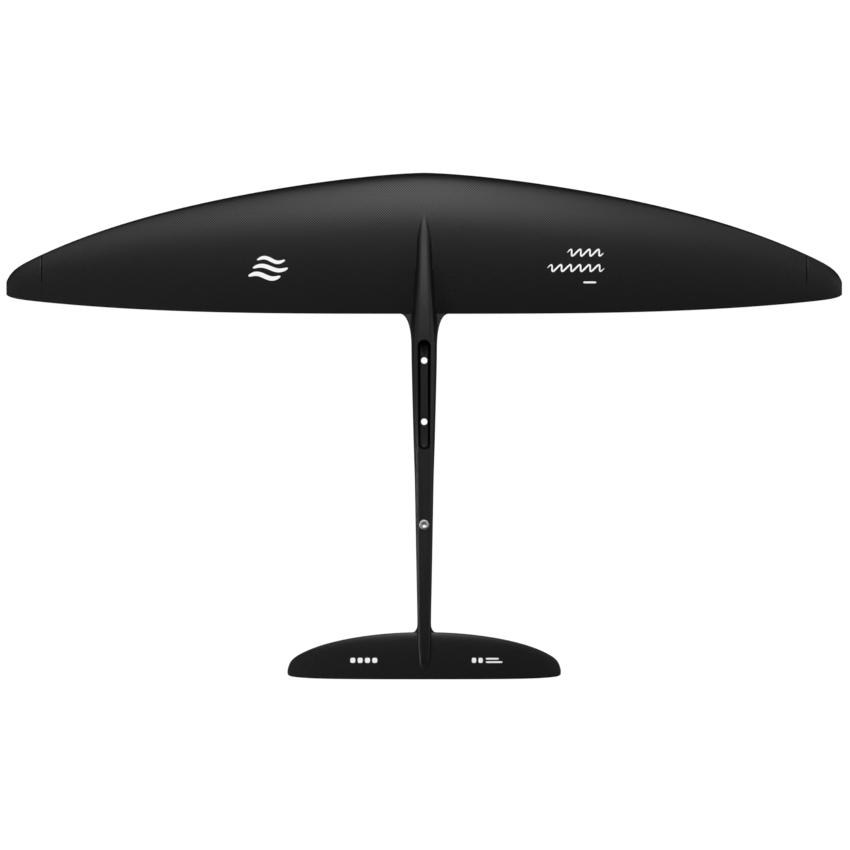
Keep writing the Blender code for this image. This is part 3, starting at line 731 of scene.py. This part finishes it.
def slot_ring(width, length, y, z, steps=40):
    """Outline of a round-ended slot; z is a height or a function of x and y."""
    radius = width / 2
    reach = length / 2 - radius
    angle = np.linspace(0, np.pi, steps + 1)
    x = np.concatenate([radius * np.cos(angle), -radius * np.cos(angle)])
    front = y + reach + radius * np.sin(angle)
    back = y - reach - radius * np.sin(angle)
    yy = np.concatenate([front, back])
    return np.column_stack([x, yy, z(x, yy) if callable(z) else np.full(len(x), float(z))])


def pocket_ring(out, z):
    """Outline of the pocket's mouth, moved outwards."""
    return slot_ring(POCKET_MOUTH + 2 * out, POCKET_LENGTH + 2 * out, POCKET_Y, z)


def pocket_lean():
    """How far the pocket's wall moves inwards for each unit of depth."""
    return (POCKET_MOUTH - POCKET_FLOOR) / 2 / POCKET_TOP


def wall(z):
    """How far out from the stated mouth the pocket's leaning wall is at a height."""
    return pocket_lean() * (z - POCKET_TOP)


def mouth_ring(out, rise):
    """Outline where the pocket's wall meets the surface, moved outwards and up."""
    low = pocket_ring(wall(LAND_LOW), LAND_LOW)
    high = pocket_ring(wall(LAND_HIGH), LAND_HIGH)
    share = np.full(len(low), 0.5)
    for _ in range(6):
        spot = low + share[:, None] * (high - low)
        share = (surface(spot[:, 0], spot[:, 1], 1) - LAND_LOW) / (LAND_HIGH - LAND_LOW)
    spot = low + share[:, None] * (high - low)
    around = (pocket_ring(out, 0.0) - pocket_ring(0.0, 0.0))[:, :2]
    x, y = spot[:, 0] + around[:, 0], spot[:, 1] + around[:, 1]
    return np.column_stack([x, y, surface(x, y, 1) + rise])


def mouth_cutter():
    """Cutter for the pocket's mouth in the skin, with a bevel that follows the surface."""
    above, deep = 30.0, 6.0
    rings = [pocket_ring(wall(20.0) + 0.2, above)]
    rings += [mouth_ring(out, rise) for out, rise in ((0.2, 0.02), (0.1, -0.04), (0.0, -0.16))]
    rings.append(pocket_ring(wall(deep), deep))
    return ring_loft("cut_mouth", rings)


def hole_cutter(radius, bevel, y, sign, far):
    """Cutter for a round hole in a skin, with a bevel that follows the surface."""

    def ring(r, z):
        return slot_ring(2 * r, 2 * r + 0.001, y, z)

    def below(dip):
        return lambda x, yy: surface(x, yy, sign) - sign * dip

    steps = ((bevel, -25.0), (bevel, -0.02), (0.0, bevel))
    rings = [ring(radius + out, below(dip)) for out, dip in steps]
    return ring_loft("cut_hole", rings + [ring(radius, far)])


def front_skins(mats):
    """Upper and lower skins of front wing and fuselage."""
    outboard = outboard_lines(ROOT_FILLET_X + 4, TIP_JOINT - SEAM_GAP, WING_STEP)
    outboard = np.concatenate([[ROOT_FILLET_X + 4], outboard])
    rows = foil_rows(wing_edges, chord_shares(84), outboard)
    stations = fillet_rows(ROOT_FILLET_Y, TRAILING_Y, 13)[1:]
    stations += list(np.linspace(ROOT_FILLET_Y, SEAM_Y + TAIL_GAP, 70)[1:])
    rows += [body_line(y) for y in stations]
    for level, sign in (("upper", 1), ("lower", -1)):
        mesh = loft(f"front_skin_{level}", *shell_faces(rows, FRONT_SKIN, sign))
        if sign > 0:
            cutters = [mouth_cutter(), hole_cutter(RECESS_RADIUS, 0.2, SCREW_Y, 1, 5.0)]
        else:
            radius = SEAT_FLANGE / 2 + SEAT_ROOM
            cutters = [hole_cutter(radius, 0.5, y, -1, -4.0) for y in (BOLT_Y, -BOLT_Y)]
        mesh = cut(mesh, cutters)
        crisp(mesh)
        weave_map(mesh)
        node = f"plane_shell_{level}"
        piece(f"front_skin_{level}", mesh, mats["carbon"], "plane", [node])


def tail_skins(mats):
    """Upper and lower skins of the tail boom and stabiliser."""
    outboard = outboard_lines(STAB_FILLET_X + 2, STAB_HALF_SPAN * TIP_START, STAB_STEP)
    tips = STAB_HALF_SPAN * np.array([0.98, 0.987, 0.992, 0.996, 0.9985, 1.0])
    outboard = np.concatenate([[STAB_FILLET_X + 2], outboard, tips])
    stations = list(np.linspace(SEAM_Y - TAIL_GAP, STAB_FILLET_Y, 24))
    stations += fillet_rows(STAB_FILLET_Y, STAB_NOSE_Y, 9)[::-1][1:-1]
    rows = [body_line(y) for y in stations] + foil_rows(stab_edges, chord_shares(34), outboard)
    for level, sign in (("upper", 1), ("lower", -1)):
        mesh = loft(f"tail_skin_{level}", *shell_faces(rows, TAIL_SKIN, sign))
        crisp(mesh)
        weave_map(mesh)
        node = f"tail_shell_{level}"
        piece(f"tail_skin_{level}", mesh, mats["carbon"], "tail", [node])


def open_share(c):
    """1 over the front of the chord, where the joint at a tip is open, and 0 behind."""
    return 1 - smooth(c, 0.5, 0.68)


def joint_gap(c):
    """Distance from TIP_JOINT out to where the tip cap begins."""
    return SEAM_GAP + JOINT_OPENING * open_share(c)


def tip_row(x, c, depth, share):
    """Top and bottom points at a share of the chord, sunk by a depth or a share of the wall."""
    lead, trail = wing_edges(x)
    y = lead + c * (trail - lead)
    high, low = surface(x, y, 1), surface(x, y, -1)
    sink = np.minimum(depth, share * (high - low))
    return np.column_stack([x, y, high - sink]), np.column_stack([x, y, low + sink])


def tip_joints(mats):
    """Near-black bead in the joint between the wing and each tip cap, a little below flush: painted
    shade of the open groove.
    """
    for name, sign in (("left", -1), ("right", 1)):
        rows = []
        for c in chord_shares(60):
            start, end = TIP_JOINT - SEAM_GAP, TIP_JOINT + joint_gap(c)
            x = sign * np.linspace(start + BEAD_SLACK, end - BEAD_SLACK, 3)[::sign]
            rows.append(tip_row(x, c, BEAD_SINK, 0.3))
        mesh = loft(f"tip_joint_{name}", *zip(*rows))
        crisp(mesh)
        piece(f"tip_joint_{name}", mesh, mats["groove_shade"], "plane")


def tip_caps(mats):
    """Solid tip caps; the joint to the wing opens a little over the front of the chord."""
    even = np.linspace(TIP_JOINT + 6, HALF_SPAN * 0.98, 8)
    ends = HALF_SPAN * np.array([0.985, 0.989, 0.992, 0.995, 0.9975, 0.999, 1.0])
    for name, sign in (("left", -1), ("right", 1)):
        rows = []
        for c in chord_shares(60):
            start = TIP_JOINT + joint_gap(c)
            x = np.concatenate([[start, start + 0.3, start + 2], even, ends])
            chamfer = np.zeros(len(x))
            chamfer[0] = 0.02 + 0.1 * open_share(c)
            rows.append(tip_row(sign * x[::sign], c, chamfer[::sign], 0.4))
        mesh = loft(f"tip_cap_{name}", *zip(*rows))
        crisp(mesh)
        weave_map(mesh)
        piece(f"tip_cap_{name}", mesh, mats["carbon"], "plane", [f"wing_tip_{name}"])


# ---------------------------------------------------------------- pocket, seats and screw


def pocket_lining(mats):
    """Tapered lining of the mast pocket with a rounded foot, a flat floor and two bolt holes."""
    under, thick = -6.0, 1.6
    floor = wall(0.0)
    edge = pocket_ring(0.0, 0.0)
    outward = pocket_ring(1.0, 0.0) - edge
    arc = POCKET_Y + (POCKET_LENGTH - POCKET_MOUTH) / 2
    back = POCKET_Y - (POCKET_LENGTH - POCKET_MOUTH) / 2
    foot = FOOT + (FRONT_FOOT - FOOT) * smooth(edge[:, 1], arc, arc + POCKET_MOUTH / 2)
    foot += (REAR_FOOT - FOOT) * smooth(-edge[:, 1], -back, -back + POCKET_MOUTH / 4)

    def top(out, drop):
        ring = mouth_ring(0.0, -FRONT_SKIN - drop)
        return ring + pocket_ring(wall(0) + out - wall(FRONT_SKIN + drop), 0) - pocket_ring(wall(0), 0)

    rings = [pocket_ring(floor + 1.0, under), pocket_ring(floor + 1.4, under + 0.4)]
    rings += [top(thick, 0.3), top(thick - 0.2, 0.1), top(0.0, 0.1)]
    for t in np.linspace(0, 0.5 * np.pi, 6):
        out = wall(foot) - foot * (1 - np.cos(t)) * 0.9
        ring = edge + outward * out[:, None]
        ring[:, 2] = foot * (1 - np.sin(t))
        rings.append(ring)
    mesh = ring_loft("pocket_lining", rings)
    bore, sleeve = BOLT_BORE / 2, SEAT_SLEEVE / 2 + SEAT_ROOM
    bolt_hole = [(bore + 0.4, 5), (bore + 0.4, 0.0), (bore, -0.4), (bore, -20)]
    sleeve_hole = [(sleeve, SEAT_END + SEAT_ROOM), (sleeve, -20)]
    cutters = []
    for y in (BOLT_Y, -BOLT_Y):
        cutters.append(turned("cut_bolt", bolt_hole, y, closed=False))
        cutters.append(turned("cut_sleeve", sleeve_hole, y, closed=False))
    mesh = cut(mesh, cutters)
    crisp(mesh)
    weave_map(mesh)
    # Its material is a darker copy of the carbon, with the pocket's shade painted into its colour.
    piece("pocket_lining", mesh, mats["lining_painted_shade"], "plane", ["mast_socket"])


def bolt_seats(mats):
    """Stainless seats for the mast bolts, turned with small bevels."""
    high = SEAT_FACE + SEAT_THICK
    out, bore, sleeve = SEAT_FLANGE / 2, BOLT_BORE / 2, SEAT_SLEEVE / 2
    profile = [
        (sleeve - 0.3, SEAT_END), (sleeve, SEAT_END - 0.3), (sleeve, high + 0.3), (sleeve + 0.3, high),
        (out - 0.2, high), (out, high - 0.2), (out, SEAT_FACE + 0.5), (out - 0.15, SEAT_FACE + 0.15),
        (out - 0.5, SEAT_FACE), (bore + 0.5, SEAT_FACE), (bore, SEAT_FACE + 0.5), (bore, SEAT_END - 0.2),
        (bore + 0.2, SEAT_END),
    ]
    for name, y in (("front", BOLT_Y), ("rear", -BOLT_Y)):
        mesh = turned(f"bolt_seat_{name}", profile, y)
        crisp(mesh)
        node = f"mast_bolt_seat_{name}"
        piece(f"bolt_seat_{name}", mesh, mats["steel"], "plane", [node])


def screw_ring(radius, z):
    """Ring of points round the screw's axis."""
    return circle(radius, SCREW_Y, z, SCREW_STEPS)


def thread_rings(major, low, high, run_out):
    """Rings of a right-hand thread, fading out at both ends."""
    angle = np.arange(SCREW_STEPS) * 2 * np.pi / SCREW_STEPS
    rings = []
    for z in np.arange(low, high, PITCH / 8):
        phase = np.mod(z / PITCH - angle / (2 * np.pi), 1)
        tooth = np.clip(1.15 - 2.3 * np.abs(phase - 0.5), 0.12, 1)
        fade = min(1, (z - low) / run_out, (high - z) / run_out)
        r = major - THREAD_DEPTH * (tooth * fade + (1 - fade) * 0.15)
        rings.append(screw_ring(r, z))
    return rings


def clamp_screw(mats):
    """Round-head screw: bevelled head, six-lobed recess, threaded shank."""
    rings = [screw_ring(SCREW_RADIUS - 0.9, SCREW_END)]
    rings.append(screw_ring(SCREW_RADIUS - 0.5, SCREW_END + 0.4))
    rings += thread_rings(SCREW_RADIUS - 0.02, SCREW_END + 0.5, THREAD_TOP, 0.8)
    neck = [
        (SCREW_RADIUS - 0.1, THREAD_TOP + 0.4), (SCREW_RADIUS - 0.1, HEAD_UNDER - 0.3),
        (SCREW_RADIUS + 0.15, HEAD_UNDER), (HEAD_RADIUS - 0.3, HEAD_UNDER),
        (HEAD_RADIUS, HEAD_UNDER + 0.3),
    ]
    rings += [screw_ring(r, z) for r, z in neck]
    crown = 0.8
    for t in np.linspace(0, 0.5 * np.pi, 7):
        r = HEAD_RADIUS - crown * (1 - np.cos(t))
        rings.append(screw_ring(r, HEAD_TOP - crown + crown * np.sin(t)))
    mesh = ring_loft("clamp_screw", rings)
    angle = np.arange(SCREW_STEPS) * 2 * np.pi / SCREW_STEPS
    lobes = []
    for grow, depth in ((0.55, -1), (0.28, 0), (0.0, 0.35), (-0.08, 2.6)):
        r = LOBE_MEAN + grow + LOBE_SWING * np.cos(6 * angle)
        lobes.append(screw_ring(r, HEAD_TOP - depth))
    lobes += [screw_ring(2.0, HEAD_TOP - 3.1), screw_ring(0.6, HEAD_TOP - 3.3)]
    mesh = cut(mesh, [ring_loft("cut_lobes", lobes)])
    crisp(mesh)
    piece("clamp_screw", mesh, mats["bright"], "tail_screw", ["tail_screw"])


def washer_and_nut(mats):
    """Washer under the screw's head, and the nut below it."""
    top, bore, out = HEAD_UNDER - 0.1, SCREW_RADIUS + 0.3, WASHER_RADIUS
    washer = [
        (out - 0.15, top), (out, top - 0.15), (out, WASHER_UNDER + 0.15), (out - 0.15, WASHER_UNDER),
        (bore + 0.1, WASHER_UNDER), (bore, WASHER_UNDER + 0.1), (bore, top - 0.1), (bore + 0.1, top),
    ]
    mesh = turned("screw_washer", washer, SCREW_Y)
    crisp(mesh)
    piece(
        "screw_washer", mesh, mats["steel"], "tail_screw_washer",
        ["tail_screw_washer"],
    )
    bore = SCREW_RADIUS + 0.15
    nut = [
        (NUT_RADIUS - 0.3, NUT_TOP), (NUT_RADIUS, NUT_TOP - 0.3), (NUT_RADIUS, NUT_BOTTOM + 0.4),
        (NUT_RADIUS - 0.4, NUT_BOTTOM), (bore + 0.4, NUT_BOTTOM), (bore, NUT_BOTTOM + 0.4),
        (bore, NUT_TOP - 0.4), (bore + 0.4, NUT_TOP),
    ]
    mesh = turned("screw_nut", nut, SCREW_Y)
    crisp(mesh)
    piece("screw_nut", mesh, mats["steel"], "plane", ["tail_screw_nut"])


# ---------------------------------------------------------------- plain marks

MARK_RISE = 0.05
TAIL_MARK_Y = -367.6


def ribbon(name, centre, width, body, mats):
    """Flat printed stripe along a centre line, lying on the top surface."""
    centre = np.asarray(centre, float)
    along = np.gradient(centre, axis=0)
    along /= np.linalg.norm(along, axis=1)[:, None]
    across = np.column_stack([-along[:, 1], along[:, 0]]) * np.asarray(width, float)[:, None] / 2
    top, bottom = [], []
    for t in np.linspace(-1, 1, 7):
        x, y = (centre + t * across).T
        z = surface(x, y, 1)
        top.append(np.column_stack([x, y, z + MARK_RISE]))
        bottom.append(np.column_stack([x, y, z - MARK_RISE]))
    mesh = loft(name, top, bottom)
    crisp(mesh)
    piece(name, mesh, mats["ink"], body)


def wave(x0, x1, y, height, turns, slant=0.0, count=49):
    """Centre line of a wave between two places across the span."""
    t = np.linspace(0, 1, count)
    rise = height * np.sin(2 * np.pi * turns * t)
    return np.column_stack([x0 + (x1 - x0) * t + slant * rise, y + rise])


def bar(x0, x1, y):
    """Centre line of a straight bar across the span."""
    return wave(x0, x1, y, 0.0, 1.0)


def swell(width, ends=0.15, count=49):
    """Widths that taper to rounded ends."""
    t = np.linspace(-1, 1, count)
    return width * np.sqrt(np.clip(1 - np.abs(t) ** (1 / ends), 0.004, 1))


def marks(mats):
    """Plain white waves and bars where the wing and the stabiliser are printed."""
    for i, (start, end) in enumerate(((-240, -196), (-234, -186), (-228, -190))):
        line = wave(start, end, 157.0 + 11.0 * i, 3.2, 1.0)
        ribbon(f"mark_left_wave_{i + 1}", line, swell(6.2 - 0.6 * i, 0.3), "plane", mats)
    line = wave(195, 245, 189, 4.4, 4.0, 0.5, 97)
    ribbon("mark_right_wave_1", line, swell(2.3, 0.1, 97), "plane", mats)
    line = wave(168, 246, 168, 4.4, 6.0, 0.5, 145)
    ribbon("mark_right_wave_2", line, swell(2.3, 0.08, 145), "plane", mats)
    ribbon("mark_right_bar", bar(217, 235, 148.5), swell(2.6, 0.12), "plane", mats)
    for i in range(4):
        x = -101.0 + 10.0 * i
        line = bar(x, x + 7.0, TAIL_MARK_Y)
        ribbon(f"mark_tail_left_{i + 1}", line, swell(7.0, 0.2), "tail", mats)
    for i in range(2):
        x = 65.0 + 9.0 * i
        line = bar(x, x + 6.0, TAIL_MARK_Y)
        ribbon(f"mark_tail_right_{i + 1}", line, swell(7.0, 0.2), "tail", mats)
    for i, end in enumerate((102.0, 107.0)):
        line = bar(84.0, end, -365.4 - 4.6 * i)
        ribbon(f"mark_tail_right_bar_{i + 1}", line, swell(2.4, 0.1), "tail", mats)


# ---------------------------------------------------------------- studio


def area_light(name, place, target, size, power):
    """Rectangular softbox facing a target; its size is (across, along)."""
    light = bpy.data.lights.new(name, "AREA")
    light.shape = "RECTANGLE"
    light.size, light.size_y = size
    light.energy = power
    thing = bpy.data.objects.new(name, light)
    thing.location = place
    thing.rotation_euler = (Vector(target) - Vector(place)).to_track_quat("-Z", "Y").to_euler()
    thing.visible_camera = False
    bpy.context.scene.collection.objects.link(thing)
    return thing


def polar(lean, turn, distance):
    """Place at an angle from the vertical, turned from straight ahead towards the right."""
    lean, turn = np.radians(lean), np.radians(turn)
    out = distance * np.sin(lean)
    return (out * np.sin(turn), out * np.cos(turn), distance * np.cos(lean))


# Name: lean from straight up and turn to the right of straight ahead in degrees, size across
# and along in metres, power in watts
SOFTBOXES = {
    "key": (29, 0, (0.7, 1.8), 31.0),
    "key_left": (35, -40, (0.7, 1.2), 6.5),
    "key_right": (35, 40, (0.7, 1.2), 2.5),
    "front_left": (56, -35, (0.7, 0.6), 3.5),
    "front_right": (56, 35, (0.7, 0.6), 3.5),
    "side_left": (50, -90, (1.1, 1.3), 3.0),
    "side_right": (50, 90, (1.1, 1.3), 7.5),
    "rear_left": (64, -130, (0.9, 0.9), 22.0),
    "rear_right": (64, 130, (0.9, 0.9), 3.0),
    "rear": (60, 180, (0.7, 0.7), 1.0),
}
STUDIO_DISTANCE = 2.4
# A small spot on the left bevel of the fuselage's rear half, in metres and degrees
TAIL_SPOT = (-0.9, -0.22, 0.8)
TAIL_SPOT_TARGET = (-0.01, -0.22, 0)
TAIL_SPOT_SIZE = (0.2, 0.12)
TAIL_SPOT_POWER = 0.05
TAIL_SPOT_SPREAD = 14.0
# Brightness of the room and floor as they light the object, and of the floor as it is seen
ROOM_LIGHT = 0.05
FLOOR_LIGHT = 0.1
FLOOR_GLOW = 0.98
FLOOR_PAPER = 0.08
FLOOR_REACH = 9000.0
FLOOR_CLEARANCE = 0.5
# The camera in metres: width of the view, and the point it looks down on. The lens is in mm.
VIEW_SPAN = 1.1613
VIEW_MIDDLE = (0.0011, -0.0462, -0.018)
LENS = 800.0


def grey(value):
    """Opaque grey."""
    return (value, value, value, 1)


def seen_or_lighting(tree, lighting, seen):
    """Shader that shows the camera one thing and lights the object with another."""
    camera_ray = wire(tree, "ShaderNodeLightPath", {})["Is Camera Ray"]
    return wire(tree, "ShaderNodeMixShader", {0: camera_ray, 1: lighting, 2: seen})[0]


def lights():
    """Softboxes round the object, strongest ahead and above, and a dark room."""
    for name, (lean, turn, size, power) in SOFTBOXES.items():
        area_light(name, polar(lean, turn, STUDIO_DISTANCE), (0, 0, 0), size, power)
    spot = area_light("tail_spot", TAIL_SPOT, TAIL_SPOT_TARGET, TAIL_SPOT_SIZE, TAIL_SPOT_POWER)
    spot.data.spread = np.radians(TAIL_SPOT_SPREAD)
    world = bpy.data.worlds.new("studio")
    bpy.context.scene.world = world
    world.use_nodes = True
    tree = world.node_tree
    tree.nodes.clear()
    room = wire(tree, "ShaderNodeBackground", {"Color": grey(ROOM_LIGHT)})[0]
    white = wire(tree, "ShaderNodeBackground", {"Color": grey(1)})[0]
    wire(tree, "ShaderNodeOutputWorld", {"Surface": seen_or_lighting(tree, room, white)})


def floor(height):
    """Pale floor a little below the object."""
    signs = ((-1, -1), (1, -1), (1, 1), (-1, 1))
    corners = [(FLOOR_REACH * x, FLOOR_REACH * y, height) for x, y in signs]
    mesh = to_mesh("floor", corners, [(0, 1, 2, 3)])
    mat = bpy.data.materials.new("floor")
    mat.use_nodes = True
    tree = mat.node_tree
    tree.nodes.clear()
    dim = wire(tree, "ShaderNodeBsdfDiffuse", {"Color": grey(FLOOR_LIGHT)})[0]
    glow = wire(tree, "ShaderNodeEmission", {"Color": grey(1), "Strength": FLOOR_GLOW})[0]
    paper = wire(tree, "ShaderNodeBsdfDiffuse", {"Color": grey(FLOOR_PAPER)})[0]
    lit = wire(tree, "ShaderNodeAddShader", {0: glow, 1: paper})[0]
    wire(tree, "ShaderNodeOutputMaterial", {"Surface": seen_or_lighting(tree, dim, lit)})
    mesh.materials.append(mat)
    thing = bpy.data.objects.new("floor", mesh)
    bpy.context.scene.collection.objects.link(thing)


def camera():
    """Long lens looking straight down on the middle of the object."""
    lens = bpy.data.cameras.new("camera")
    lens.lens = LENS
    lens.clip_end = 200.0
    thing = bpy.data.objects.new("camera", lens)
    distance = VIEW_SPAN * lens.lens / lens.sensor_width
    thing.location = Vector(VIEW_MIDDLE) + Vector((0, 0, distance))
    thing.rotation_euler = Euler((0, 0, 0))
    bpy.context.scene.collection.objects.link(thing)
    bpy.context.scene.camera = thing


def inside_materials(nodes, mats):
    """Gives the pieces inside their materials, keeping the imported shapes."""
    cores = ["fuselage_core", "tail_boom_core"]
    for part in ("wing_core_front", "wing_core_rear", "stabiliser_core"):
        cores += [f"{part}_left", f"{part}_right"]
    kinds = {
        "laminate": ["wing_spar", "stabiliser_spar", "tail_socket_liner"],
        "foam": cores,
        "alloy": ["tail_spigot"],
    }
    for kind, names in kinds.items():
        for name in names:
            nodes[name].material_slots[0].material = mats[kind]


def main():
    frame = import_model()
    cad_low, cad_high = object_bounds()
    mats = {
        "carbon": woven_carbon("woven_carbon", 0.4, 0.0018, 0.0075),
        # The pocket's lining is a darker, less shiny copy of the carbon: painted shade in the deep
        # pocket.
        "lining_painted_shade": woven_carbon("pocket_lining", 0.42, 0.0008, 0.0025, 0.75, 0.7),
        "laminate": moulded("moulded_laminate", (0.012, 0.012, 0.013), 0.5, 2500.0),
        # Near-black, almost unshiny colour of the tip joints' bead: painted shade of the open groove.
        "groove_shade": moulded("joint_painted_shade", (0.002, 0.002, 0.002), 0.7, 3000.0, 0.05),
        "foam": foam("core_foam"),
        "steel": turned_steel("stainless_steel", 0.3),
        "bright": turned_steel("bright_steel", 0.28),
        "alloy": anodised("anodised_alloy"),
        "ink": print_ink("white_ink"),
    }
    inside_materials(frame["nodes"], mats)
    front_skins(mats)
    tail_skins(mats)
    tip_caps(mats)
    tip_joints(mats)
    pocket_lining(mats)
    bolt_seats(mats)
    clamp_screw(mats)
    washer_and_nut(mats)
    marks(mats)
    lights()
    floor(cad_low.z / MM - FLOOR_CLEARANCE)
    camera()
    bpy.context.scene.view_settings.view_transform = "Standard"


main()
